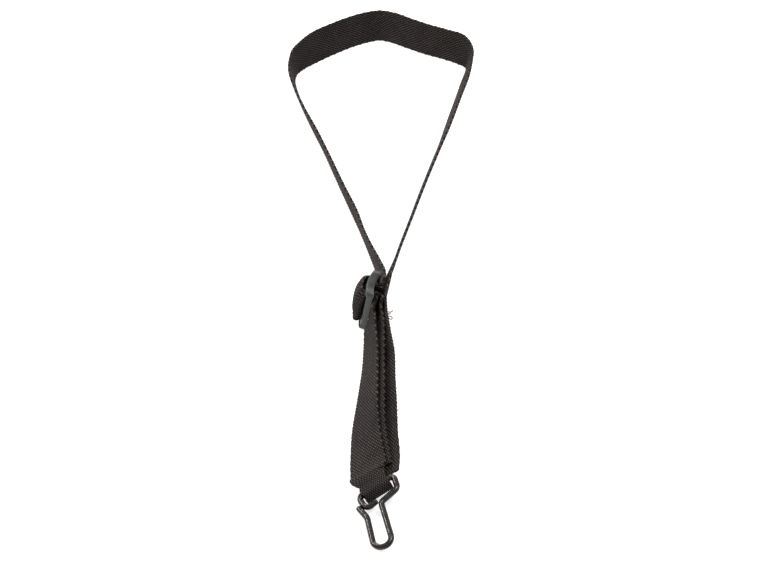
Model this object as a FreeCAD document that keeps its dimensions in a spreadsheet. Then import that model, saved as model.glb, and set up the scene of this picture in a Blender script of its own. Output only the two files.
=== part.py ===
"""Saxophone neck strap: one strip of webbing, a plastic slide adjuster and a coated wire hook.

The strap lies on a table. The neck loop stands on its edge at +Y, the slide adjuster stands near the
middle and the hook lies at -Y. Millimetres, +Z up, origin at the middle of the footprint.
"""
import FreeCAD, Part
import math
import os

import Sketcher
from FreeCAD import Placement, Rotation, Vector

doc = FreeCAD.newDocument("NeckStrap")

# ---------------------------------------------------------------- driving dimensions

DIMENSIONS = {
    # webbing
    "webbing_width": 25.4,
    "webbing_thick": 1.8,
    "gathered_width": 19.6,        # where the hook's ring gathers the webbing
    "layer_gap": 0.3,
    # slide adjuster
    "adjuster_along": 24.0,        # in the direction of the webbing
    "adjuster_across": 38.0,       # across the webbing
    "adjuster_thick": 5.4,
    "bar_thick": 3.8,              # the bars are thinner than the rails
    "bar_breadth": 3.5,
    "rail_breadth": 3.2,
    "adjuster_corner": 3.0,
    "adjuster_edge": 0.9,
    # hook
    "wire_diameter": 3.2,
    "coating_thick": 0.4,
    # seam
    "thread_diameter": 0.6,
    "stitch_length": 2.6,
}

sheet = doc.addObject("Spreadsheet::Sheet", "Dimensions")
for row, (alias, value) in enumerate(DIMENSIONS.items(), start=1):
    sheet.set(f"A{row}", alias)
    sheet.set(f"B{row}", str(value))
    sheet.setAlias(f"B{row}", alias)
doc.recompute()


def size(alias):
    return float(sheet.get(alias))


WEB_WIDTH = size("webbing_width")
WEB_THICK = size("webbing_thick")
LAYER = WEB_THICK + size("layer_gap")
GATHERED = size("gathered_width")
COATED_RADIUS = size("wire_diameter") / 2 + size("coating_thick")

# ---------------------------------------------------------------- frames on the table

# The slide adjuster: x along the strap towards the hook, y through its slots, z across the webbing.
ADJUSTER = Placement(Vector(-6.6, -41.0, 19.25), Rotation(-105.0, 0.0, -8.6))
# The hook: x along the bar inside the fold, y up the strap, z out of the hook's plane.
HOOK = Placement(Vector(-3.0, -189.2, 8.6), Rotation(28.0, -16.0, 1.0))

# ---------------------------------------------------------------- helpers


def own_plane(body, role):
    return next(f for f in body.Origin.OriginFeatures if f.Role == role)


def sketch_on(body, name, role):
    sketch = body.newObject("Sketcher::SketchObject", name)
    sketch.AttachmentSupport = [(own_plane(body, role), "")]
    sketch.MapMode = "FlatFace"
    return sketch


def add_rectangle(sketch, along, across):
    """A rectangle centred on the sketch's origin, bound to two cells of the sheet."""
    corners = [Vector(-1, -1), Vector(1, -1), Vector(1, 1), Vector(-1, 1)]
    first = sketch.GeometryCount
    for i in range(4):
        sketch.addGeometry(Part.LineSegment(corners[i], corners[(i + 1) % 4]))
    for i in range(4):
        sketch.addConstraint(Sketcher.Constraint("Coincident", first + i, 2, first + (i + 1) % 4, 1))
    for i, kind in enumerate(("Horizontal", "Vertical", "Horizontal", "Vertical")):
        sketch.addConstraint(Sketcher.Constraint(kind, first + i))
    sketch.addConstraint(Sketcher.Constraint("Symmetric", first, 1, first + 2, 1, -1, 1))
    wide = sketch.addConstraint(Sketcher.Constraint("DistanceX", first, 1, first, 2, 2.0))
    high = sketch.addConstraint(Sketcher.Constraint("DistanceY", first + 1, 1, first + 1, 2, 2.0))
    sketch.setExpression(f"Constraints[{wide}]", along)
    sketch.setExpression(f"Constraints[{high}]", across)


def add_ring(sketch, middle_x, half_long, half_high):
    """A closed rectangle of four lines."""
    corners = [Vector(middle_x + a * half_long, b * half_high, 0)
               for a, b in ((-1, -1), (1, -1), (1, 1), (-1, 1))]
    for i in range(4):
        sketch.addGeometry(Part.LineSegment(corners[i], corners[(i + 1) % 4]))


def rounded_route(corners):
    """Straight runs and tangent arcs through (x, y, radius) corners, as Part curves in the XY plane."""
    points = [Vector(x, y, 0) for x, y, _ in corners]
    curves = []
    start = points[0]
    for i in range(1, len(points) - 1):
        back = (points[i - 1] - points[i]).normalize()
        ahead = (points[i + 1] - points[i]).normalize()
        half = back.getAngle(ahead) / 2
        radius = corners[i][2]
        reach = radius / math.tan(half)
        entry = points[i] + back * reach
        leave = points[i] + ahead * reach
        middle = points[i] + (back + ahead).normalize() * (radius / math.sin(half) - radius)
        if (entry - start).Length > 1e-4:
            curves.append(Part.LineSegment(start, entry))
        curves.append(Part.Arc(entry, middle, leave))
        start = leave
    curves.append(Part.LineSegment(start, points[-1]))
    return curves


def offset_route(corners, distance):
    """The same corners moved sideways by a distance, to the left of the way they run."""
    points = [Vector(x, y, 0) for x, y, _ in corners]
    moved = []
    for i, (_, _, radius) in enumerate(corners):
        before = (points[i] - points[max(i - 1, 0)])
        after = (points[min(i + 1, len(points) - 1)] - points[i])
        before = (before if before.Length else after).normalize()
        after = (after if after.Length else before).normalize()
        left_before = Vector(-before.y, before.x, 0)
        left_after = Vector(-after.y, after.x, 0)
        miter = left_before + left_after
        shift = miter * (2 * distance / miter.Length ** 2)
        turn = before.x * after.y - before.y * after.x
        moved.append((points[i].x + shift.x, points[i].y + shift.y,
                      radius - math.copysign(distance, turn) if radius else 0))
    return moved


def strip_outline(corners, thick):
    """The closed outline of a strip that follows a route of runs and arcs at one thickness."""
    left = rounded_route(offset_route(corners, thick / 2))
    right = rounded_route(offset_route(corners, -thick / 2))
    first = Part.LineSegment(right[0].StartPoint, left[0].StartPoint)
    last = Part.LineSegment(left[-1].EndPoint, right[-1].EndPoint)
    return [first] + left + [last] + right


def strip_body(label, corners, width_alias, role, placement):
    """Webbing bent about one direction: a padded strip, as wide as the named cell."""
    body = doc.addObject("PartDesign::Body", label)
    body.Label = label
    sketch = sketch_on(body, label + "_route", role)
    for curve in strip_outline(corners, WEB_THICK):
        sketch.addGeometry(curve)
    pad = body.newObject("PartDesign::Pad", label + "_pad")
    pad.Profile = sketch
    pad.Midplane = True
    pad.setExpression("Length", "Dimensions." + width_alias)
    body.Placement = placement
    return body


# ---------------------------------------------------------------- slide adjuster


def make_adjuster():
    """A moulded frame with two slots: far bar, centre bar and near bar between two rails."""
    body = doc.addObject("PartDesign::Body", "slide_adjuster")
    body.Label = "slide_adjuster"
    outline = sketch_on(body, "adjuster_outline", "XZ_Plane")
    add_rectangle(outline, "Dimensions.adjuster_along", "Dimensions.adjuster_across")
    frame = body.newObject("PartDesign::Pad", "adjuster_frame")
    frame.Profile = outline
    frame.Midplane = True
    frame.setExpression("Length", "Dimensions.adjuster_thick")
    doc.recompute()
    whole = frame.Shape.Volume
    upright = [f"Edge{i + 1}" for i, edge in enumerate(frame.Shape.Edges)
               if abs(edge.tangentAt(edge.FirstParameter).y) > 0.99]
    corners = body.newObject("PartDesign::Fillet", "adjuster_corners")
    corners.Base = (frame, upright)
    corners.setExpression("Radius", "Dimensions.adjuster_corner")
    doc.recompute()
    rims = [f"Edge{i + 1}" for i, edge in enumerate(corners.Shape.Edges)
            if abs(abs(edge.CenterOfMass.y) - size("adjuster_thick") / 2) < 0.01]
    rounding = body.newObject("PartDesign::Fillet", "adjuster_rounding")
    rounding.Base = (corners, rims)
    rounding.setExpression("Radius", "Dimensions.adjuster_edge")
    doc.recompute()
    slot_breadth = (size("adjuster_along") - 3 * size("bar_breadth")) / 2
    half_high = size("adjuster_across") / 2 - size("rail_breadth")
    for side, name in ((-1, "far_slot"), (1, "near_slot")):
        slot = sketch_on(body, name + "_outline", "XZ_Plane")
        slot_x = side * (size("bar_breadth") + slot_breadth) / 2
        add_ring(slot, slot_x, slot_breadth / 2, half_high)
        cut = body.newObject("PartDesign::Pocket", name)
        cut.Profile = slot
        cut.Midplane = True
        cut.Type = "ThroughAll"
        body.Tip = cut
        doc.recompute()
    for side, name in ((-1, "bulge_relief"), (1, "leg_relief")):
        relief = sketch_on(body, name + "_outline", "XZ_Plane")
        relief.AttachmentOffset = Placement(Vector(0, 0, side * size("adjuster_thick") / 2), Rotation())
        add_ring(relief, 0, size("adjuster_along") / 2 + 1, half_high)
        cut = body.newObject("PartDesign::Pocket", name)
        cut.Profile = relief
        cut.Reversed = side < 0
        cut.setExpression("Length", "(Dimensions.adjuster_thick - Dimensions.bar_thick) / 2")
        body.Tip = cut
        doc.recompute()
    slots = 2 * slot_breadth * 2 * half_high * size("adjuster_thick")
    if body.Shape.Volume > whole - 0.98 * slots:
        raise RuntimeError("the adjuster's slots did not cut")
    body.Placement = ADJUSTER
    return body


# ---------------------------------------------------------------- webbing inside the adjuster

SLOT_EXIT = -2.4                   # y where the webbing leaves the slots on the bulging side
WRAP_X = size("bar_breadth") / 2 + size("layer_gap") + 1.5 * WEB_THICK + size("layer_gap")
LOOP_X = size("bar_breadth") / 2 + size("layer_gap") + 0.5 * WEB_THICK
LEG_Y = size("adjuster_thick") / 2 + 0.5 + WEB_THICK / 2
RIGHT_LEG_Y = LEG_Y + LAYER + 1.6
TAIL_Y = LEG_Y + LAYER + 1.2
WRAP_END = 12.0
LEG_END = -13.0

# The running strand passes the far bar, dips through the far slot, bulges out and comes back through
# the near slot. Two large arcs make the flattened bulge.
WRAP_ROUTE = [
    (LEG_END, LEG_Y, 0),
    (-WRAP_X, LEG_Y, 1.4),
    (-WRAP_X, SLOT_EXIT - 1.6, 1.3),
    (-8.2, SLOT_EXIT - 2.4, 1.4),
    (-6.6, -8.8, 2.2),
    (0.0, -9.7, 14.0),
    (6.6, -8.8, 2.2),
    (8.2, SLOT_EXIT - 2.4, 1.4),
    (WRAP_X, SLOT_EXIT - 1.6, 1.3),
    (WRAP_X, LEG_Y, 1.4),
    (WRAP_END, LEG_Y, 0),
]

# The sewn end passes through the far slot, round the centre bar and back as the tail.
LOOP_ROUTE = [
    (LEG_END, RIGHT_LEG_Y, 0),
    (-LOOP_X, RIGHT_LEG_Y, 2.0),
    (-LOOP_X, -5.6, LOOP_X - 0.02),
    (LOOP_X, -5.6, LOOP_X - 0.02),
    (LOOP_X, TAIL_Y, 2.0),
    (LOOP_X + 2.6, TAIL_Y, 0),
]

# ---------------------------------------------------------------- hook

END_DIP = 1.4                      # vinyl beyond the cut ends of the wire
END_ROUNDING = 1.3

# The wire from the tip, round the hook, up the shank and round the ring to the free end.
HOOK_ROUTE = [
    (-17.0, -7.6, 0),
    (-15.9, -16.5, 7.0),
    (-22.9, -38.9, 5.9),
    (-11.1, -42.6, 5.9),
    (-3.2, -12.2, 2.6),
    (10.6, -9.6, 4.2),
    (12.9, 0.0, 2.5),
    (-13.6, 0.0, 4.0),
    (-13.3, -11.1, 3.4),
    (-6.0, -9.8, 0),
]


def lengthened(corners, extra):
    """The same route with both ends carried on by a distance."""
    route = list(corners)
    for end, beside in ((0, 1), (-1, -2)):
        x, y, radius = corners[end]
        step = Vector(x - corners[beside][0], y - corners[beside][1], 0).normalize() * extra
        route[end] = (x + step.x, y + step.y, radius)
    return route


def swept_wire(name, corners, radius):
    """A round bar along a route in the XY plane; the radius is an expression of the sheet."""
    path = doc.addObject("Sketcher::SketchObject", name + "_path")
    for curve in rounded_route(corners):
        path.addGeometry(curve)
    start = Vector(*corners[0][:2], 0)
    ring = doc.addObject("Part::Circle", name + "_section")
    ring.setExpression("Radius", radius)
    ring.Placement = Placement(start, Rotation(Vector(0, 0, 1), Vector(*corners[1][:2], 0) - start))
    sweep = doc.addObject("Part::Sweep", name)
    sweep.Sections = [ring]
    sweep.Spine = (path, [])
    sweep.Solid = True
    sweep.Transition = "Round corner"
    return sweep


def make_hook():
    """A bent steel wire inside a dipped vinyl coating that also closes over both ends."""
    core = swept_wire("wire_core", HOOK_ROUTE, "Dimensions.wire_diameter / 2")
    skin = swept_wire("coating_skin", lengthened(HOOK_ROUTE, END_DIP),
                      "Dimensions.wire_diameter / 2 + Dimensions.coating_thick")
    doc.recompute()
    rims = [i + 1 for i, edge in enumerate(skin.Shape.Edges)
            if edge.Closed and abs(edge.Length - math.tau * COATED_RADIUS) < 0.01
            and edge.CenterOfMass.distanceToPoint(edge.Curve.Center) < 0.01]
    ends = [rims[0], rims[-1]]
    dipped = doc.addObject("Part::Fillet", "dipped_form")
    dipped.Base = skin
    dipped.Edges = [(rim, END_ROUNDING, END_ROUNDING) for rim in ends]
    coating = doc.addObject("Part::Cut", "hook_coating")
    coating.Label = "hook_coating"
    coating.Base = dipped
    coating.Tool = core
    wire = doc.addObject("Part::Compound", "hook_wire")
    wire.Label = "hook_wire"
    wire.Links = [core]
    coating.Placement = HOOK
    wire.Placement = HOOK
    return [wire, coating]


FOLD_RADIUS = COATED_RADIUS + size("layer_gap") + WEB_THICK / 2
FOLD_RUN = 4.0                     # straight webbing on each side of the fold
FOLD_MIDDLE = -0.8                 # the ring gathers the webbing a little off its middle
FOLD_END = -5.9                    # the fold hangs a little loose below the bar

# Across the bar: down the front layer, round the bar and back up the rear layer.
FOLD_ROUTE = [
    (FOLD_RUN, FOLD_RADIUS, 0),
    (FOLD_END, FOLD_RADIUS, FOLD_RADIUS - 0.02),
    (FOLD_END, -FOLD_RADIUS, FOLD_RADIUS - 0.02),
    (FOLD_RUN, -FOLD_RADIUS, 0),
]

# ---------------------------------------------------------------- webbing that lies free

# Every station of a strand is its middle (x, y, z), the lean of its width from upright in degrees,
# the compass way that it leans (from +X towards +Y) and its width. End stations also hold the way
# that the strand runs there.


def station(x, y, z, lean, way, width=WEB_WIDTH):
    lean_rad = math.radians(lean)
    way_rad = math.radians(way)
    across = Vector(math.sin(lean_rad) * math.cos(way_rad),
                    math.sin(lean_rad) * math.sin(way_rad),
                    math.cos(lean_rad))
    return Vector(x, y, z), across, width, None


def station_in(frame, point, across, run, width=WEB_WIDTH):
    """The end station of a strand, square to the webbing that it meets in an adjuster or hook frame."""
    return frame.multVec(point), frame.Rotation.multVec(across), width, frame.Rotation.multVec(run)


UP = Vector(0, 0, 1)
ALONG = Vector(1, 0, 0)
FOLD_WAY = Vector(0, 1, 0)

NECK_LOOP = [
    station_in(ADJUSTER, Vector(LEG_END, LEG_Y, 0), UP, -ALONG),
    station(-0.4, -14.0, 16.2, 3, -10),
    station(-3.0, -3.0, 14.8, 2, 198),
    station(-9.6, 15.8, 13.6, 6, 197),
    station(-16.1, 36.3, 13.2, 8, 198),
    station(-24.1, 58.9, 13.2, 10, 199),
    station(-33.3, 85.7, 13.2, 11, 199),
    station(-42.7, 113.0, 13.2, 13, 200),
    station(-52.3, 138.8, 13.2, 15, 202),
    station(-59.0, 158.5, 13.1, 15, 201),
    station(-62.9, 174.5, 13.1, 13, 208),
    station(-63.6, 184.0, 13.1, 8, 215),
    station(-62.0, 193.0, 13.1, 5, 180),
    station(-56.5, 200.5, 13.1, 8, 120),
    station(-48.0, 208.3, 13.1, 15, 124),
    station(-33.5, 218.0, 13.1, 15, 121),
    station(-20.5, 225.2, 13.1, 14, 114),
    station(-9.5, 229.6, 13.1, 13, 104),
    station(-1.0, 231.4, 13.1, 12, 88),
    station(8.0, 229.3, 13.1, 13, 70),
    station(20.0, 223.3, 13.1, 13, 62),
    station(33.0, 216.9, 13.1, 13, 64),
    station(47.0, 211.3, 13.1, 13, 64),
    station(57.4, 206.3, 13.1, 14, 52),
    station(62.4, 201.0, 13.1, 6, 30),
    station(63.4, 192.5, 13.1, 11, -5),
    station(61.6, 184.0, 13.1, 16, -14),
    station(59.4, 173.2, 13.2, 19, -17),
    station(52.0, 146.0, 13.2, 19, -17),
    station(44.6, 119.0, 13.2, 18, -17),
    station(37.2, 95.4, 13.2, 17, -17),
    station(30.4, 73.2, 13.2, 16, -18),
    station(23.5, 49.4, 13.2, 15, -18),
    station(17.6, 28.8, 13.3, 15, -17),
    station(13.0, 12.1, 13.7, 14, -16),
    station(9.2, -3.0, 14.8, 12, -16),
    station(6.6, -16.0, 16.6, 10, -15),
    station_in(ADJUSTER, Vector(LEG_END, RIGHT_LEG_Y, 0), UP, ALONG),
]
LEFT_CORNER = 10
CREASE = 18
RIGHT_CORNER = 26

FRONT_STRAND = [
    station_in(ADJUSTER, Vector(WRAP_END, LEG_Y, 0), UP, ALONG),
    station(-6.8, -62.5, 15.4, 12, 0),
    station(-7.0, -81.5, 13.6, 21, 3),
    station(-8.6, -113.5, 12.6, 31, 8),
    station(-10.0, -138.5, 11.5, 41, 14),
    station(-9.2, -163.5, 9.9, 55, 20),
    station(-8.2, -177.0, 10.2, 68, 25),
    station_in(HOOK, Vector(FOLD_MIDDLE, FOLD_RUN, FOLD_RADIUS), ALONG, -FOLD_WAY, GATHERED),
]

BACK_STRAND = [
    station_in(HOOK, Vector(FOLD_MIDDLE, FOLD_RUN, -FOLD_RADIUS), ALONG, FOLD_WAY, GATHERED),
    station(1.2, -175.0, 7.9, 66, 24),
    station(1.0, -151.5, 9.7, 50, 13),
    station(2.2, -130.5, 11.5, 36, 8),
    station(3.7, -90.5, 13.4, 17, 3),
    station(2.4, -71.5, 14.6, 13, 0),
    station(1.8, -58.0, 16.2, 10, 0),
    station(1.25, -41.5, 17.9, 9, -8),
]

TAIL_STRAND = [
    station_in(ADJUSTER, Vector(LOOP_X + 2.6, TAIL_Y, 0), UP, ALONG),
    station(-1.0, -58.0, 16.2, 10, 0),
    station(-1.1, -71.5, 14.6, 13, 0),
    station(-1.9, -90.5, 13.3, 17, 3),
    station(-3.7, -113.5, 12.4, 26, 6),
    station(-5.7, -135.5, 11.5, 38, 11),
    station(-5.2, -153.5, 10.3, 47, 15),
    station(-3.4, -167.5, 8.5, 58, 20),
]


def section_tangents(strand):
    """The way the strand runs at each station: the mean of the runs on either side of it."""
    middles = [middle for middle, _, _, _ in strand]
    runs = [(b - a).normalize() for a, b in zip(middles, middles[1:])]
    means = [(a + b).normalize() for a, b in zip(runs, runs[1:])]
    return [strand[0][3] or runs[0]] + means + [strand[-1][3] or runs[-1]]


def strand_loft(label, strand, first, last):
    """Twisting webbing: a ruled loft through flat sections, one at each station."""
    tangents = section_tangents(strand)
    sections = []
    for i in range(first, last + 1):
        middle, across, width, _ = strand[i]
        through = tangents[i].cross(across).normalize()
        plane = doc.addObject("Part::Plane", f"{label}_section")
        plane.setExpression("Length", "Dimensions.webbing_thick")
        if width == WEB_WIDTH:
            plane.setExpression("Width", "Dimensions.webbing_width")
        else:
            plane.setExpression("Width", "Dimensions.gathered_width")
        corner = middle - through * (WEB_THICK / 2) - across * (width / 2)
        plane.Placement = Placement(corner, Rotation(through, across, Vector(), "XYZ"))
        sections.append(plane)
    loft = doc.addObject("Part::Loft", label)
    loft.Label = label
    loft.Sections = sections
    loft.Solid = True
    loft.Ruled = True
    return loft


# ---------------------------------------------------------------- seam


def make_seam():
    """Two columns of stitches where the rear strand's end is sewn to the tail."""
    start, across, _, _ = BACK_STRAND[-1]
    finish, _, _, _ = BACK_STRAND[-2]
    along = (finish - start).normalize()
    outward = along.cross(across).normalize()
    if outward.x < 0:
        outward = outward * -1
    lift = WEB_THICK / 2 + size("thread_diameter") / 2 + 0.25
    stitches = []
    for row in range(6):
        for column in range(2):
            stitch = doc.addObject("Part::Cylinder", "stitch")
            stitch.setExpression("Radius", "Dimensions.thread_diameter / 2")
            stitch.setExpression("Height", "Dimensions.stitch_length")
            base = start + along * (3.0 + 9.0 * column) + across * (3.8 * (row - 2.5)) + outward * lift
            stitch.Placement = Placement(base, Rotation(Vector(0, 0, 1), along))
            stitches.append(stitch)
    seam = doc.addObject("Part::Compound", "seam_threads")
    seam.Label = "seam_threads"
    seam.Links = stitches
    return seam


# ---------------------------------------------------------------- the whole strap

ACROSS_FOLD = Placement(HOOK.multVec(Vector(FOLD_MIDDLE, 0, 0)),
                        HOOK.Rotation.multiply(Rotation(Vector(0, 1, 0), Vector(0, 0, 1), Vector(), "XYZ")))

nodes = [
    make_adjuster(),
    strip_body("webbing_slider_wrap", WRAP_ROUTE, "webbing_width", "XY_Plane", ADJUSTER),
    strip_body("webbing_anchor_loop", LOOP_ROUTE, "webbing_width", "XY_Plane", ADJUSTER),
    strip_body("webbing_hook_fold", FOLD_ROUTE, "gathered_width", "XY_Plane", ACROSS_FOLD),
    strand_loft("webbing_left_leg", NECK_LOOP, 0, LEFT_CORNER),
    strand_loft("webbing_neck_left", NECK_LOOP, LEFT_CORNER, CREASE),
    strand_loft("webbing_neck_right", NECK_LOOP, CREASE, RIGHT_CORNER),
    strand_loft("webbing_right_leg", NECK_LOOP, RIGHT_CORNER, len(NECK_LOOP) - 1),
    strand_loft("webbing_front_strand", FRONT_STRAND, 0, len(FRONT_STRAND) - 1),
    strand_loft("webbing_back_strand", BACK_STRAND, 0, len(BACK_STRAND) - 1),
    strand_loft("webbing_tail", TAIL_STRAND, 0, len(TAIL_STRAND) - 1),
    make_seam(),
] + make_hook()

doc.recompute()

for thing in doc.Objects:
    if "Invalid" in thing.State or "Error" in thing.State:
        raise RuntimeError(f"{thing.Name} failed: {thing.State}")
os.makedirs("parts", exist_ok=True)
whole = FreeCAD.BoundBox()
for node in nodes:
    shape = node.Shape
    if shape.isNull() or not shape.isValid():
        raise RuntimeError(f"{node.Label} has no valid shape")
    whole.add(shape.optimalBoundingBox(False))
    print(f"{node.Label}: {len(shape.Solids)} solids, {shape.Volume:.0f} mm3")
    shape.exportStep(f"parts/{node.Label}.step")
print(whole)
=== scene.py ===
"""A saxophone neck strap: woven webbing, a slide adjuster and a coated hook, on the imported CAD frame."""

import math

import bmesh
import bpy
import numpy as np
from mathutils import Euler, Matrix, Vector, noise


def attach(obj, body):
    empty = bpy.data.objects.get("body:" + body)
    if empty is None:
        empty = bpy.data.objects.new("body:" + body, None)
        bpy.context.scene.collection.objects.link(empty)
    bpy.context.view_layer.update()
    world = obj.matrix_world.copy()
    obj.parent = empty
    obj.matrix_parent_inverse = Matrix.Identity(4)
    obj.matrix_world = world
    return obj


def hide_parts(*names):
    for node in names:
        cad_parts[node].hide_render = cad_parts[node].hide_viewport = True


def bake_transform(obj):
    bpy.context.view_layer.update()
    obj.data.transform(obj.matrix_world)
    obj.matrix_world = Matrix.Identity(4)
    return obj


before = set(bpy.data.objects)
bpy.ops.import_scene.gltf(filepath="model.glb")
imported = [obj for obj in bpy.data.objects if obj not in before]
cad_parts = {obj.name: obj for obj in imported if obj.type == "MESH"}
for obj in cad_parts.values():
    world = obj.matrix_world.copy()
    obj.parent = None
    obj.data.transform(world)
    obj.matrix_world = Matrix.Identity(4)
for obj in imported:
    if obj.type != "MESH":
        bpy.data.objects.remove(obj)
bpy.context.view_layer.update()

MM = 0.001

# ---------------------------------------------------------------- sizes, in millimetres

WIDTH = 25.4                  # webbing
GATHERED = 19.3               # webbing inside the hook's ring
END_COUNT = 24                # warp ends across the webbing
PICK_PITCH = 2.7              # from one weft to the next
CREST = 0.95                  # from the middle of the webbing to the top of a warp end
PICK_DROP = 0.4               # depth of the pits between one yarn's crest and its next
END_DROP = 0.3                # depth of the groove between neighbouring yarns
SELVEDGE_BUMP = 0.16          # how far the selvedge steps in and out with each weft
SELVEDGE_SWAY = 0.2           # how far it steps from face to face
END_SAMPLES = 4               # mesh columns in each warp end
PICK_SAMPLES = 6              # mesh rows in each pick
SQUARED = 0.22                # largest slant across the run that is squared up

# Where the webbing bulges from the adjuster.
BULGE_START = 4.0             # height over the adjuster's middle where the bulge begins
BULGE_FULL = 8.5              # height where it is complete
BULGE_RISE = 1.4              # how far it rides up
BULGE_SPREAD = 2.8            # how much wider it gets
CURL = 3.6                    # how far its selvedges turn in

WEB_THICK = 1.8
LAYER_GAP = 0.3               # between the webbing and what it lies against
COATED_RADIUS = 2.0           # hook wire with its coating
FOLD_RADIUS = COATED_RADIUS + LAYER_GAP + WEB_THICK / 2
BAR_BREADTH = 3.5             # the adjuster's centre bar
ADJUSTER_THICK = 5.4
ADJUSTER_REACH = 12           # half its length along the strap
BOW = 2.4                     # how far the adjuster's centre bar stands out from its outer bars

STATION_GAP = 0.15            # routed stations closer than this are left out
CURVE_STEP = 0.4              # between two rows of the strip's smooth curve

STITCH_LENGTH = 2.6
STITCH_SPACING = 2.5          # across the webbing
STITCH_COUNT = 9              # across the webbing
STITCH_LINES = (3.0, 12.0)    # distances back from the webbing's end
STITCH_SINK = 0.7             # how deep a stitch goes in at each end
STITCH_RADIUS = 0.28
FRAY_RADIUS = 0.34
FRAY_COUNT = 14
LONG_FRAYS = (7, 8)           # the frayed yarns that stand out furthest
LONG_FRAY = 2.6

# ---------------------------------------------------------------- the strip's way through the strap


def placed(origin, yaw, pitch, roll):
    """A frame at this origin, turned by these angles in degrees."""
    turn = Euler([math.radians(angle) for angle in (roll, pitch, yaw)])
    return Matrix.Translation(origin) @ turn.to_matrix().to_4x4()


# The slide adjuster: x along the strap towards the hook, y through its slots, z across the webbing.
ADJUSTER = placed((-6.6, -41.0, 19.25), -105.0, 0.0, -8.6)
# From the world into that frame, in metres.
ADJUSTER_LOCAL = (Matrix.Scale(MM, 4) @ ADJUSTER @ Matrix.Scale(1 / MM, 4)).inverted()
# The hook: x along the bar inside the fold, y up the strap, z out of the hook's plane.
HOOK = placed((-3.0, -189.2, 8.6), 28.0, -16.0, 1.0)
# The fold's plane lies across the bar: x up the strap, y out of the hook's plane.
ACROSS_BAR = Matrix(((0, 0, 1, 0), (1, 0, 0, 0), (0, 1, 0, 0), (0, 0, 0, 1)))
FOLD = HOOK @ Matrix.Translation((-0.8, 0, 0)) @ ACROSS_BAR


def station(x, y, z, lean, way, width=WIDTH):
    """The webbing's middle, its width's direction and size, and no curl.

    The width leans this many degrees from upright, towards this many degrees round from +x.
    """
    lean, way = math.radians(lean), math.radians(way)
    across = (math.sin(lean) * math.cos(way), math.sin(lean) * math.sin(way), math.cos(lean))
    return (x, y, z, *across, width, 0.0)


def routed(place, corners, step=0.5, width=WIDTH):
    """Stations along straight runs and the arcs between them; corners are (x, y, radius)."""
    points = [Vector((x, y, 0)) for x, y, _ in corners]
    line = [points[0]]
    for i in range(1, len(points) - 1):
        radius = corners[i][2]
        back = (points[i - 1] - points[i]).normalized()
        ahead = (points[i + 1] - points[i]).normalized()
        half = back.angle(ahead) / 2
        centre = points[i] + (back + ahead).normalized() * radius / math.sin(half)
        start = points[i] + back * radius / math.tan(half) - centre
        finish = points[i] + ahead * radius / math.tan(half) - centre
        sweep, axis = start.angle(finish), start.cross(finish)
        count = max(3, math.ceil(sweep * radius / step))
        line += [centre + Matrix.Rotation(sweep * k / count, 3, axis) @ start for k in range(count + 1)]
    line.append(points[-1])
    kept = [line[0]]
    for point in line[1:]:
        if (point - kept[-1]).length > STATION_GAP:
            kept.append(point)
    across = place.to_3x3() @ Vector((0, 0, 1))
    return [(*(place @ point), *across, width, 0.0) for point in kept]


def gathered(stations):
    """Webbing squeezed narrower, to pass through the hook's ring."""
    return [(*row[:6], GATHERED, 0.0) for row in stations]


def bulging(stations):
    """Where the webbing stands away from the adjuster it rides up, spreads and turns its selvedges in."""
    rows = []
    for row in stations:
        away = -(ADJUSTER.inverted() @ Vector(row[:3])).y
        share = min(1, max(0, (away - BULGE_START) / (BULGE_FULL - BULGE_START)))
        middle = Vector(row[:3]) + Vector(row[3:6]) * BULGE_RISE * share
        rows.append((*middle, *row[3:6], WIDTH + BULGE_SPREAD * share, CURL * share))
    return rows


# Lines that the webbing follows round the adjuster, in the adjuster's own x and y.
WRAP_X = BAR_BREADTH / 2 + 2 * LAYER_GAP + 1.5 * WEB_THICK
LOOP_X = BAR_BREADTH / 2 + LAYER_GAP + 0.5 * WEB_THICK
LEG_Y = ADJUSTER_THICK / 2 + 0.5 + WEB_THICK / 2
RIGHT_LEG_Y = LEG_Y + WEB_THICK + LAYER_GAP + 1.6
TAIL_Y = LEG_Y + WEB_THICK + LAYER_GAP + 1.2
LEG_END = -13.0
WRAP_END = 12.0
SLOT_EXIT = -2.4

# Round the centre bar, inside: from the tail's root to the right leg.
ANCHOR_LOOP = routed(ADJUSTER, [
    (LOOP_X + 2.6, TAIL_Y, 0),
    (LOOP_X, TAIL_Y, 2.0),
    (LOOP_X, -5.6, LOOP_X - 0.02),
    (-LOOP_X, -5.6, LOOP_X - 0.02),
    (-LOOP_X, RIGHT_LEG_Y, 2.0),
    (LEG_END, RIGHT_LEG_Y, 0),
])

# Through both slots with a bulge over the centre bar: from the left leg to the front strand.
SLIDER_WRAP = bulging(routed(ADJUSTER, [
    (LEG_END, LEG_Y, 0),
    (-WRAP_X, LEG_Y, 1.4),
    (-WRAP_X, SLOT_EXIT - 1.6, 1.3),
    (-10.2, SLOT_EXIT - 2.4, 1.4),
    (-8.4, -9.9, 2.6),
    (-1.0, -11.8, 14.0),
    (8.0, -9.9, 3.2),
    (10.2, SLOT_EXIT - 2.4, 1.4),
    (WRAP_X, SLOT_EXIT - 1.6, 1.3),
    (WRAP_X, LEG_Y, 1.4),
    (WRAP_END, LEG_Y - 1.0, 0),
]))

# Round the hook's bar: the fold's end is slanted, so one face turns sooner than the other.
FOLD_TURN, FOLD_END = -2.8, -7.3
HOOK_FOLD = gathered(routed(FOLD, [
    (4.0, FOLD_RADIUS, 0),
    (FOLD_TURN, FOLD_RADIUS, 1.5),
    (FOLD_END, -FOLD_RADIUS, 1.5),
    (4.0, -FOLD_RADIUS, 0),
]))

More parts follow.
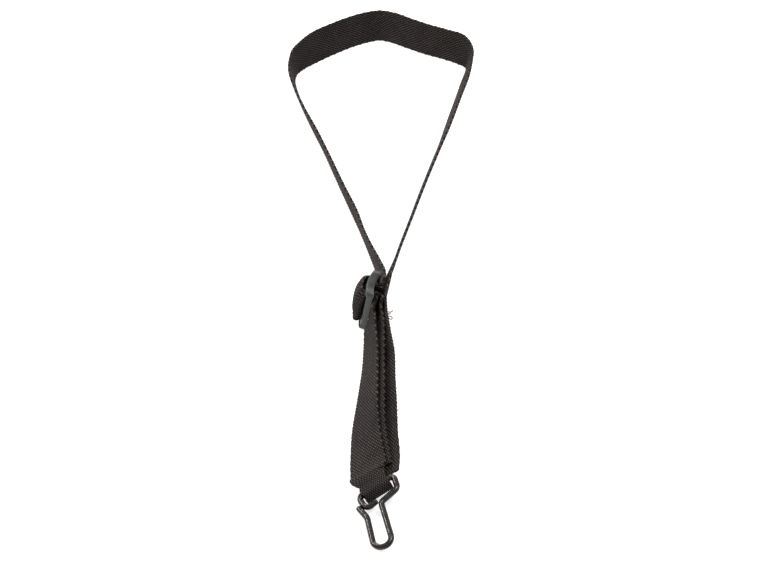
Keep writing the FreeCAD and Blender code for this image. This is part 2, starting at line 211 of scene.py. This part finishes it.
# Between the adjuster and the hook: the middle layer, then the front and the back one further down.
TAIL = [
    station(-4.4, -176.0, 8.4, 65, 22),
    station(-5.4, -165.0, 8.9, 56, 19),
    station(-5.8, -153.5, 10.3, 47, 15),
    station(-5.7, -135.5, 11.6, 39, 11),
    station(-4.6, -113.5, 12.6, 33, 6),
    station(-4.0, -90.5, 13.5, 28, 3),
    station(-3.5, -71.5, 14.8, 26, 0),
    station(-3.1, -58.0, 15.9, 21, 0),
]

RIGHT_LEG = [
    station(4.9, -16.0, 16.4, 17, -15),
    station(9.2, -3.0, 14.8, 12, -16),
    station(13.0, 12.1, 13.7, 14, -16),
    station(17.6, 28.8, 13.3, 15, -17),
    station(23.5, 49.4, 13.2, 15, -18),
    station(30.4, 73.2, 13.2, 16, -18),
    station(37.2, 95.4, 13.2, 17, -17),
    station(44.6, 119.0, 13.2, 18, -17),
    station(52.0, 146.0, 13.2, 19, -17),
    station(59.4, 173.2, 13.2, 19, -17),
]

NECK_RIGHT = [
    station(61.6, 184.0, 13.1, 16, -14),
    station(63.4, 192.5, 13.1, 11, -5),
    station(62.4, 201.0, 13.1, 6, 30),
    station(57.4, 206.3, 13.1, 14, 52),
    station(47.0, 211.3, 13.1, 13, 64),
    station(33.0, 216.9, 13.1, 13, 64),
    station(20.0, 223.3, 13.1, 13, 62),
    station(8.0, 229.3, 13.1, 13, 70),
]

NECK_LEFT = [
    station(-1.0, 231.4, 13.1, 12, 88),
    station(-9.5, 229.6, 13.1, 13, 104),
    station(-20.5, 225.2, 13.1, 14, 114),
    station(-33.5, 218.0, 13.1, 15, 121),
    station(-48.0, 208.3, 13.1, 15, 124),
    station(-56.5, 200.5, 13.1, 8, 120),
    station(-62.0, 193.0, 13.1, 5, 180),
    station(-63.6, 184.0, 13.1, 8, 215),
]

LEFT_LEG = [
    station(-62.9, 174.5, 13.1, 13, 208),
    station(-59.0, 158.5, 13.1, 15, 201),
    station(-52.3, 138.8, 13.2, 15, 202),
    station(-42.2, 113.0, 13.2, 13, 200),
    station(-32.6, 85.7, 13.2, 11, 199),
    station(-23.3, 58.9, 13.2, 10, 199),
    station(-15.2, 36.3, 13.2, 8, 198),
    station(-9.3, 15.8, 13.6, 9, 197),
    station(-3.7, -3.0, 14.8, 5, 198),
    station(-1.2, -14.0, 16.2, 1, -10),
]

FRONT_STRAND = [
    station(-7.3, -58.5, 15.7, 15, 0),
    station(-7.3, -65.5, 15.1, 16, 0),
    station(-7.0, -81.5, 13.6, 21, 3),
    station(-8.6, -113.5, 12.6, 31, 8),
    station(-10.0, -138.5, 11.5, 41, 14),
    station(-9.2, -163.5, 9.9, 55, 20),
    station(-8.2, -177.0, 10.2, 68, 25),
    *routed(FOLD, [(8.5, FOLD_RADIUS, 0), (8.0, FOLD_RADIUS, 0)], width=24.4),
    *routed(FOLD, [(6.4, FOLD_RADIUS, 0), (6.0, FOLD_RADIUS, 0)], width=22.4),
]

BACK_STRAND = [
    station(-0.6, -180.0, 7.2, 68, 16, 24.5),
    station(0.3, -173.0, 7.9, 65, 12),
    station(1.0, -151.5, 9.7, 50, 13),
    station(2.0, -130.5, 11.6, 39, 8),
    station(1.6, -110.0, 12.8, 36, 5),
    station(1.5, -90.5, 13.8, 34, 3),
    station(-0.5, -71.5, 15.1, 30, 0),
    station(-0.9, -58.0, 16.2, 23, 0),
    station(0.6, -41.5, 17.9, 12, -8),
]

RUNS = [
    ("webbing_tail", TAIL),
    ("webbing_anchor_loop", ANCHOR_LOOP),
    ("webbing_right_leg", RIGHT_LEG),
    ("webbing_neck_right", NECK_RIGHT),
    ("webbing_neck_left", NECK_LEFT),
    ("webbing_left_leg", LEFT_LEG),
    ("webbing_slider_wrap", SLIDER_WRAP),
    ("webbing_front_strand", FRONT_STRAND),
    ("webbing_hook_fold", HOOK_FOLD),
    ("webbing_back_strand", BACK_STRAND),
]
# A strand runs on to the first station of what it joins; a routed run keeps its own ends.
ROUTED = ("webbing_anchor_loop", "webbing_slider_wrap", "webbing_hook_fold")


def cuts():
    """The station where each run starts and stops, counted along the whole strip."""
    found, start = {}, 0
    for i, (name, stations) in enumerate(RUNS):
        stop = start + len(stations) - 1
        first = start - 1 if i and RUNS[i - 1][0] in ROUTED else start
        last = stop if name in ROUTED or i == len(RUNS) - 1 else stop + 1
        found[name] = (first, last)
        start += len(stations)
    return found


def strip_curve():
    """A smooth curve through every station, in rows like theirs, and the running length of each row."""
    rows = np.array([row for _, stations in RUNS for row in stations])
    gaps = np.linalg.norm(np.diff(rows[:, :3], axis=0), axis=1)
    knots = np.concatenate([[0], np.cumsum(gaps)])
    slopes = np.gradient(rows, knots, axis=0)
    count = np.maximum(2, np.ceil(gaps / CURVE_STEP).astype(int))
    dense, marks = [], [0]
    for i, n in enumerate(count):
        t = np.linspace(0, 1, n, endpoint=False)[:, None]
        dense.append((2 * t**3 - 3 * t**2 + 1) * rows[i] + (t**3 - 2 * t**2 + t) * gaps[i] * slopes[i]
                     + (3 * t**2 - 2 * t**3) * rows[i + 1] + (t**3 - t**2) * gaps[i] * slopes[i + 1])
        marks.append(marks[-1] + n)
    dense = np.vstack(dense + [rows[-1:]])
    steps = np.linalg.norm(np.diff(dense[:, :3], axis=0), axis=1)
    run = np.concatenate([[0], np.cumsum(steps)])
    return dense, run, run[marks]


def unit(vectors):
    return vectors / np.linalg.norm(vectors, axis=-1, keepdims=True)


CURVE, RUN, STATION_RUN = strip_curve()


def sections(along):
    """Middle, tangent, across, through, width and curl of the strip at these running lengths."""
    def at(lengths):
        return np.column_stack([np.interp(lengths, RUN, CURVE[:, k]) for k in range(8)])

    rows = at(along)
    tangent = unit(at(along + 0.5)[:, :3] - at(along - 0.5)[:, :3])
    across = unit(rows[:, 3:6])
    # Squared up to the run, but only so far: where the strap leans hard, the weave shears a little.
    along_run = np.sum(across * tangent, axis=1, keepdims=True)
    across = unit(across - np.clip(along_run, -SQUARED, SQUARED) * tangent)
    return rows[:, :3], tangent, across, unit(np.cross(tangent, across)), rows[:, 6], rows[:, 7]


# ---------------------------------------------------------------- weave

PIT_SHARE = 0.8               # how much of the weave's full depth the painted shade runs through
# Painted tone of the selvedges: a painted highlight where each steps out with a weft, painted shade
# between.
SELVEDGE_SHADE_MEAN = 0.55
SELVEDGE_SHADE_SWING = 0.45         # how much that painted light and shade varies along the selvedge


def crown(position):
    """1 on the crest of a yarn and 0 in the grooves beside it, for a position counted in yarns."""
    return 1 - (2 * (position % 1) - 1) ** 2


def face_height(picks, ends, side):
    """Height of one face above the webbing's middle, for positions counted in picks and warp ends."""
    stagger = 0.5 * ((np.minimum(np.floor(ends), END_COUNT - 1) + side) % 2)
    return CREST - PICK_DROP * (1 - crown(picks + stagger)) - END_DROP * (1 - crown(ends))


def shade_of_weave(heights, picks):
    """Painted shade for the weave's colour: from 0 in the pits, painted darkest, to 1 on the crests, going
    round from one selvedge to the other and back.
    """
    tone = np.clip(1 - (CREST - heights) / (PIT_SHARE * (PICK_DROP + END_DROP)), 0, 1)
    # Each selvedge is painted lighter where it steps out and darker where it steps in, in step with its
    # bumps.
    for edge in (0, END_COUNT * END_SAMPLES):
        tone[:, edge] = SELVEDGE_SHADE_MEAN + SELVEDGE_SHADE_SWING * np.cos(picks * math.pi)
    return tone


def tube_walls(rings, size):
    """Quads between neighbouring rings of this many points."""
    index = np.arange(rings * size).reshape(-1, size)
    turned = np.roll(index, -1, axis=1)
    return np.stack([index[:-1], turned[:-1], turned[1:], index[1:]], axis=-1).reshape(-1, 4)


def tube_ends(rings, size):
    """Faces that close the first and the last ring, each from one face of the webbing to the other."""
    columns = size // 2
    cap = [[k, (size - k) % size, size - k - 1, k + 1] for k in range(1, columns - 1)]
    cap += [[0, size - 1, 1]] + [[columns - 1, columns + 1, columns]]
    last = (rings - 1) * size
    return cap + [[last + k for k in reversed(face)] for face in cap]


def woven_piece(name, first, last):
    """One length of webbing with both woven faces and its two selvedges, closed at its ends."""
    start, stop = STATION_RUN[first], STATION_RUN[last]
    rows = max(3, round((stop - start) / PICK_PITCH * PICK_SAMPLES))
    columns = END_COUNT * END_SAMPLES
    along = np.linspace(start, stop, rows + 1)
    middle, _, across, through, width, curl = sections(along)
    picks = (along / PICK_PITCH)[:, None]
    ends = (np.arange(columns + 1) / END_SAMPLES)[None, :]
    front = face_height(picks, ends, 0)
    back = face_height(picks, ends, 1)
    sway = SELVEDGE_SWAY * np.sin(picks[:, 0] * math.pi)
    for edge, sign in ((0, 1), (columns, -1)):
        front[:, edge], back[:, edge] = sway * sign, -sway * sign
    place = np.broadcast_to(ends / END_COUNT - 0.5, front.shape) * width[:, None]
    bump = SELVEDGE_BUMP * np.cos(picks * math.pi)
    reach = np.clip(1 - np.minimum(ends, END_COUNT - ends), 0, 1)
    place = place + bump * reach * np.where(ends < END_COUNT / 2, -1, 1)
    turned_in = curl[:, None] * np.abs(2 * ends / END_COUNT - 1) ** 3

    def laid(height, side):
        points = middle[:, None, :] + across[:, None, :] * place[..., None]
        return points + through[:, None, :] * (side * height - turned_in)[..., None]

    # Each ring goes over the front face and comes back over the back one, between the two selvedges.
    ring = np.concatenate([laid(front, 1), laid(back, -1)[:, -2:0:-1]], axis=1)
    heights = np.concatenate([front, back[:, -2:0:-1]], axis=1)
    walls = tube_walls(*ring.shape[:2])
    mesh = bpy.data.meshes.new(name)
    mesh.from_pydata((ring.reshape(-1, 3) * MM).tolist(), [], walls.tolist() + tube_ends(*ring.shape[:2]))
    smooth = np.ones(len(mesh.polygons), bool)
    smooth[len(walls):] = False
    mesh.polygons.foreach_set("use_smooth", smooth)
    # The weave's painted shade on each point: 0 in the pits, painted darkest, and 1 on the crests.
    weave_shade = mesh.attributes.new("weave_shade", "FLOAT", "POINT")
    weave_shade.data.foreach_set("value", shade_of_weave(heights, picks[:, 0]).reshape(-1).astype(np.float32))
    mesh.validate()
    piece = bpy.data.objects.new(name + "_woven", mesh)
    bpy.context.scene.collection.objects.link(piece)
    return piece, (stop - start) * MM


# ---------------------------------------------------------------- materials


class Nodes:
    """A node material with short calls for its nodes and links."""

    def __init__(self, name):
        self.material = bpy.data.materials.new(name)
        self.material.use_nodes = True
        self.tree = self.material.node_tree
        self.shader = self.tree.nodes["Principled BSDF"]

    def add(self, kind, inputs=None, **settings):
        node = self.tree.nodes.new(kind)
        for key, value in settings.items():
            setattr(node, key, value)
        for key, value in (inputs or {}).items():
            if isinstance(value, bpy.types.NodeSocket):
                self.tree.links.new(value, node.inputs[key])
            else:
                node.inputs[key].default_value = value
        return node

    def attribute(self, name):
        return self.add("ShaderNodeAttribute", attribute_name=name).outputs["Fac"]

    def noise(self, scale, detail, vector):
        inputs = {"Scale": scale, "Detail": detail, "Vector": vector}
        return self.add("ShaderNodeTexNoise", inputs).outputs["Fac"]

    def place(self):
        return self.add("ShaderNodeTexCoord").outputs["Object"]

    def spread(self, value, low, high, to_low, to_high):
        """The value moved from the range low to high into the range to_low to to_high."""
        inputs = {"Value": value, "From Min": low, "From Max": high, "To Min": to_low, "To Max": to_high}
        return self.add("ShaderNodeMapRange", inputs).outputs["Result"]

    def math(self, operation, a, b):
        return self.add("ShaderNodeMath", {0: a, 1: b}, operation=operation).outputs[0]

    def ramp(self, value, stops):
        node = self.add("ShaderNodeValToRGB", {"Fac": value})
        elements = node.color_ramp.elements
        while len(elements) < len(stops):
            elements.new(0.5)
        for element, (position, colour) in zip(elements, stops):
            element.position = position
            element.color = (*colour, 1)
        return node.outputs["Color"]

    def bump(self, height, distance, strength, before=None):
        inputs = {"Height": height, "Distance": distance, "Strength": strength}
        if before is not None:
            inputs["Normal"] = before
        return self.add("ShaderNodeBump", inputs).outputs["Normal"]

    def set(self, **sockets):
        for key, value in sockets.items():
            socket = self.shader.inputs[key.replace("_", " ")]
            if isinstance(value, bpy.types.NodeSocket):
                self.tree.links.new(value, socket)
            else:
                socket.default_value = value
        return self.material


def webbing_material():
    nodes = Nodes("black_webbing")
    place = nodes.place()
    # The pits are painted near black as shade and the crests paler; yarn and patch noise add random tone.
    weave_shade = nodes.attribute("weave_shade")
    yarn = nodes.noise(900.0, 2.0, place)
    patch = nodes.noise(60.0, 4.0, place)
    tone = nodes.math("ADD", nodes.math("MULTIPLY", weave_shade, 0.8), nodes.math("MULTIPLY", yarn, 0.3))
    tone = nodes.math("ADD", tone, nodes.math("MULTIPLY", patch, 0.2))
    colour = nodes.ramp(nodes.spread(tone, 0.5, 1.1, 0.0, 1.0), [
        (0.0, (0.001, 0.0006, 0.0005)),
        (0.5, (0.012, 0.0092, 0.0086)),
        (1.0, (0.085, 0.07, 0.064)),
    ])
    fibre = nodes.noise(5200.0, 3.0, place)
    rough = nodes.spread(patch, 0.3, 0.7, 0.6, 0.75)
    normal = nodes.bump(fibre, 0.00012, 0.6)
    return nodes.set(Base_Color=colour, Roughness=rough, Normal=normal, Specular_IOR_Level=0.1,
                     Sheen_Weight=0.01, Sheen_Roughness=0.4, Sheen_Tint=(0.9, 0.84, 0.8, 1))


def adjuster_material():
    nodes = Nodes("moulded_plastic")
    place = nodes.place()
    wear = nodes.noise(160.0, 5.0, place)
    grain = nodes.noise(2600.0, 2.0, place)
    # Sharp edges and corners are painted paler, as a painted highlight.
    edge = nodes.add("ShaderNodeNewGeometry").outputs["Pointiness"]
    edge_highlight = nodes.spread(edge, 0.5, 0.6, 0.0, 0.7)
    # The end towards the hook is painted paler, as painted light, and made smoother.
    along_strap = nodes.add("ShaderNodeSeparateXYZ", {0: place}).outputs["Y"]
    hook_end_light = nodes.spread(along_strap, -0.036, -0.048, 0.0, 1.0)
    tone = nodes.math("ADD", edge_highlight, nodes.math("MULTIPLY", wear, 0.5))
    tone = nodes.math("ADD", tone, nodes.math("MULTIPLY", hook_end_light, 0.5))
    # Paler where the edge highlight and the hook end's light are painted, with random mottling from the
    # wear noise.
    colour = nodes.ramp(tone, [
        (0.1, (0.0008, 0.00085, 0.0008)),
        (0.6, (0.016, 0.0163, 0.0155)),
        (1.0, (0.05, 0.052, 0.05)),
    ])
    rough = nodes.spread(wear, 0.3, 0.7, 0.4, 0.55)
    rough = nodes.math("SUBTRACT", rough, nodes.math("MULTIPLY", hook_end_light, 0.14))
    normal = nodes.bump(grain, 0.00005, 0.4, nodes.bump(wear, 0.0002, 0.3))
    return nodes.set(Base_Color=colour, Roughness=rough, Normal=normal, Specular_IOR_Level=0.29)


def vinyl_material():
    nodes = Nodes("dipped_vinyl")
    place = nodes.place()
    lumps = nodes.noise(330.0, 2.0, place)
    pits = nodes.noise(1300.0, 2.0, place)
    colour = nodes.ramp(lumps, [(0.35, (0.002, 0.0016, 0.0015)), (0.7, (0.007, 0.0055, 0.005))])
    rough = nodes.spread(pits, 0.35, 0.65, 0.2, 0.34)
    normal = nodes.bump(pits, 0.00006, 0.3, nodes.bump(lumps, 0.0006, 0.6))
    return nodes.set(Base_Color=colour, Roughness=rough, Normal=normal, Specular_IOR_Level=0.42,
                     Specular_Tint=(1, 0.94, 0.91, 1))


def steel_material():
    nodes = Nodes("drawn_steel")
    drawn = nodes.noise(700.0, 4.0, nodes.place())
    colour = nodes.ramp(drawn, [(0.3, (0.42, 0.42, 0.43)), (0.7, (0.62, 0.62, 0.61))])
    return nodes.set(Base_Color=colour, Metallic=1.0, Roughness=nodes.spread(drawn, 0.3, 0.7, 0.25, 0.4))


def thread_material():
    nodes = Nodes("sewing_thread")
    twist = nodes.noise(3000.0, 2.0, nodes.place())
    colour = nodes.ramp(twist, [(0.3, (0.006, 0.005, 0.005)), (0.7, (0.03, 0.026, 0.025))])
    return nodes.set(Base_Color=colour, Roughness=0.6, Normal=nodes.bump(twist, 0.0001, 0.7))


def floor_material():
    nodes = Nodes("pale_floor")
    tint = nodes.noise(3.0, 2.0, nodes.place())
    colour = nodes.ramp(tint, [(0.3, (0.5, 0.5, 0.5)), (0.7, (0.53, 0.53, 0.53))])
    return nodes.set(Base_Color=colour, Roughness=0.9, Specular_IOR_Level=0.1,
                     Emission_Color=(1, 1, 1, 1), Emission_Strength=0.7)


def dress(piece, material):
    """Give a piece its one material."""
    piece.data.materials.clear()
    piece.data.materials.append(material)


# ---------------------------------------------------------------- webbing pieces

LOOP_BODY, SLIDER_BODY = "webbing_loop", "adjuster"
WEBBING = webbing_material()

# The strands that run between the loop's body and the adjuster's, with both bodies and the points where a
# strand would stop following the adjuster and follow the rest of the strap.
# make_webbing only bakes these strands in place; the bodies and points are not used.
ADJUSTER_SIDE, FAR_SIDE, HOOK_SIDE = (0, -0.018, 0.015), (0, 0.160, 0.013), (0, -0.165, 0.010)
BELOW_ADJUSTER = (0, -0.058, 0.015)
BLENDS = {
    "webbing_left_leg": (LOOP_BODY, SLIDER_BODY, FAR_SIDE, ADJUSTER_SIDE),
    "webbing_right_leg": (LOOP_BODY, SLIDER_BODY, FAR_SIDE, ADJUSTER_SIDE),
    "webbing_front_strand": (LOOP_BODY, SLIDER_BODY, HOOK_SIDE, BELOW_ADJUSTER),
    "webbing_back_strand": (LOOP_BODY, SLIDER_BODY, HOOK_SIDE, BELOW_ADJUSTER),
    "webbing_tail": (LOOP_BODY, SLIDER_BODY, HOOK_SIDE, BELOW_ADJUSTER),
}


def make_webbing():
    for node, (first, last) in cuts().items():
        piece, length = woven_piece(node, first, last)
        dress(piece, WEBBING)
        if node in BLENDS:
            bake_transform(piece)
        elif node in ("webbing_slider_wrap", "webbing_anchor_loop"):
            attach(piece, SLIDER_BODY)
        else:
            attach(piece, LOOP_BODY)
        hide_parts(node)


# ---------------------------------------------------------------- seam and frayed ends


def thread_tube(name, lines, radius):
    """Threads as round tubes along their own lines, joined in one mesh."""
    curve = bpy.data.curves.new(name, "CURVE")
    curve.dimensions = "3D"
    curve.bevel_depth = radius * MM
    curve.bevel_resolution = 3
    curve.use_fill_caps = True
    for line in lines:
        spline = curve.splines.new("NURBS")
        spline.points.add(len(line) - 1)
        for point, place in zip(spline.points, line):
            point.co = (*(Vector(place) * MM), 1)
        spline.order_u = 3
        spline.use_endpoint_u = True
    tube = bpy.data.objects.new(name, curve)
    bpy.context.scene.collection.objects.link(tube)
    mesh = bpy.data.meshes.new_from_object(tube.evaluated_get(bpy.context.evaluated_depsgraph_get()))
    bpy.data.objects.remove(tube)
    mesh.shade_smooth()
    piece = bpy.data.objects.new(name, mesh)
    bpy.context.scene.collection.objects.link(piece)
    return piece


def near_end(back):
    """Middle, tangent, across and outward direction of the strip, this far back from its sewn end."""
    middle, tangent, across, through, _, _ = sections(np.array([RUN[-1] - back]))
    outward = through[0] * (1 if through[0][0] > 0 else -1)
    return middle[0], tangent[0], across[0], outward


def loose_threads():
    """Threads that stand out from the upper selvedge beside the seam: two ends and one loop."""
    lines = []
    for back, reach, rise in ((16.0, 3.2, 2.6), (17.5, 2.4, 0.6)):
        middle, _, across, outward = near_end(back)
        root = middle + across * (WIDTH / 2 - 0.4)
        lines.append([root, root + outward * 0.7 * reach, root + outward * reach + across * 0.5 * rise,
                      root + outward * 0.9 * reach + across * rise])
    middle, tangent, across, outward = near_end(20.5)
    root = middle + across * (WIDTH / 2 - 0.4)
    turn = [(0, 0), (1.4, 1.2), (2.9, 1.3), (3.4, 0), (2.9, -1.3), (1.4, -1.2), (0, -0.4)]
    lines.append([root + outward * out + tangent * side for out, side in turn])
    return lines


def stitch_lines():
    """Short stitches that lie along the webbing, in two lines across it."""
    lines = []
    for row in range(STITCH_COUNT):
        for back in STITCH_LINES:
            middle, tangent, across, outward = near_end(back)
            offset = STITCH_SPACING * (row - STITCH_COUNT // 2)
            centre = middle + across * offset + outward * (CREST + 0.05)
            reach = tangent * STITCH_LENGTH / 2
            lines.append([centre - reach - outward * STITCH_SINK, centre - reach, centre + reach,
                          centre + reach - outward * STITCH_SINK])
    return lines


def frayed_lines():
    """The warp yarns that come loose at the webbing's cut end."""
    middle, tangent, across, outward = near_end(0)
    lines = []
    for k in range(FRAY_COUNT):
        place = middle + across * (WIDTH * (0.46 - k / 15.5)) + outward * (0.3 * math.sin(5 * k))
        drift = noise.noise_vector(Vector((k * 1.7, 0.4, 2.1)))
        reach = LONG_FRAY if k in LONG_FRAYS else 0.9 + 0.7 * abs(drift.x)
        tip = place + tangent * 0.6 * reach + outward * reach + np.array(drift) * 0.5
        lines.append([place - tangent * 0.6, place + tangent * 0.3 * reach,
                      place + outward * 0.5 * reach + tangent * 0.6 * reach, tip])
    return lines


def make_threads():
    material = thread_material()
    seam = thread_tube("seam_stitches", stitch_lines(), STITCH_RADIUS)
    fray = thread_tube("frayed_ends", frayed_lines() + loose_threads(), FRAY_RADIUS)
    for piece in (seam, fray):
        dress(piece, material)
        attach(piece, SLIDER_BODY)
    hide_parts("seam_threads")


# ---------------------------------------------------------------- hook and adjuster


def dress_hook():
    dress(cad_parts["hook_coating"], vinyl_material())
    dress(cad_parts["hook_wire"], steel_material())
    for name in ("hook_coating", "hook_wire"):
        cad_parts[name].data.shade_smooth()


def make_adjuster():
    """The CAD adjuster with its side rails bowed, which sets the centre bar out from the other two."""
    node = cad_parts["slide_adjuster"]
    mesh = node.data.copy()
    mesh.transform(ADJUSTER_LOCAL @ node.matrix_world)
    shape = bmesh.new()
    shape.from_mesh(mesh)
    bmesh.ops.remove_doubles(shape, verts=shape.verts, dist=0.001 * MM)
    # Cuts a millimetre apart give the rails points to bend at.
    for cut in range(1 - ADJUSTER_REACH, ADJUSTER_REACH):
        everything = shape.verts[:] + shape.edges[:] + shape.faces[:]
        bmesh.ops.bisect_plane(shape, geom=everything, plane_co=(cut * MM, 0, 0), plane_no=(1, 0, 0))
    for vertex in shape.verts:
        vertex.co.y -= BOW * MM * max(0, 1 - (vertex.co.x / (ADJUSTER_REACH * MM)) ** 2)
    shape.to_mesh(mesh)
    shape.free()
    mesh.transform(ADJUSTER_LOCAL.inverted())
    mesh.shade_smooth()
    mesh.set_sharp_from_angle(angle=math.radians(32))
    piece = bpy.data.objects.new("bowed_adjuster", mesh)
    bpy.context.scene.collection.objects.link(piece)
    dress(piece, adjuster_material())
    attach(piece, SLIDER_BODY)
    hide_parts("slide_adjuster")


# ---------------------------------------------------------------- floor, light and camera, in metres

FLOOR_HALF = 4.0
SKY_STRENGTH = 0.62
# Name, place, what it points at, size and power.
LAMPS = [
    ("key", (-1.0, 0.1, 0.9), (0, -0.05, 0), 0.35, 11),
    ("top", (0.45, -0.1, 1.4), (0, -0.1, 0), 0.35, 15),
    ("back", (-0.25, 1.2, 1.05), (0, -0.1, 0), 0.5, 22),
]
CAMERA_LENS = 140.8           # millimetres
CAMERA_TARGET = (0, -0.0175, 0.012)
CAMERA_DISTANCE = 2
CAMERA_ELEVATION = 48         # degrees


def make_floor():
    mesh = bpy.data.meshes.new("floor")
    corners = [(-1, -1), (1, -1), (1, 1), (-1, 1)]
    mesh.from_pydata([(FLOOR_HALF * x, FLOOR_HALF * y, 0) for x, y in corners], [], [(0, 1, 2, 3)])
    floor = bpy.data.objects.new("floor", mesh)
    floor.data.materials.append(floor_material())
    bpy.context.scene.collection.objects.link(floor)


def add_lamp(name, place, target, size, power):
    data = bpy.data.lights.new(name, "AREA")
    data.shape = "DISK"
    data.size = size
    data.energy = power
    lamp = bpy.data.objects.new(name, data)
    lamp.location = place
    lamp.rotation_euler = (Vector(target) - Vector(place)).to_track_quat("-Z", "Y").to_euler()
    bpy.context.scene.collection.objects.link(lamp)


def make_light():
    world = bpy.data.worlds.new("studio")
    world.use_nodes = True
    sky = world.node_tree.nodes["Background"]
    sky.inputs["Color"].default_value = (1, 1, 1, 1)
    sky.inputs["Strength"].default_value = SKY_STRENGTH
    bpy.context.scene.world = world
    for lamp in LAMPS:
        add_lamp(*lamp)
    bpy.context.scene.view_settings.view_transform = "Standard"


def make_camera():
    camera = bpy.data.cameras.new("camera")
    camera.lens = CAMERA_LENS
    camera.sensor_width = 36
    view = bpy.data.objects.new("camera", camera)
    elevation = math.radians(CAMERA_ELEVATION)
    outward = Vector((0, -math.cos(elevation), math.sin(elevation)))
    view.location = Vector(CAMERA_TARGET) + outward * CAMERA_DISTANCE
    view.rotation_euler = (math.pi / 2 - elevation, 0, 0)
    bpy.context.scene.collection.objects.link(view)
    bpy.context.scene.camera = view


make_webbing()
make_threads()
dress_hook()
make_adjuster()
make_floor()
make_light()
make_camera()
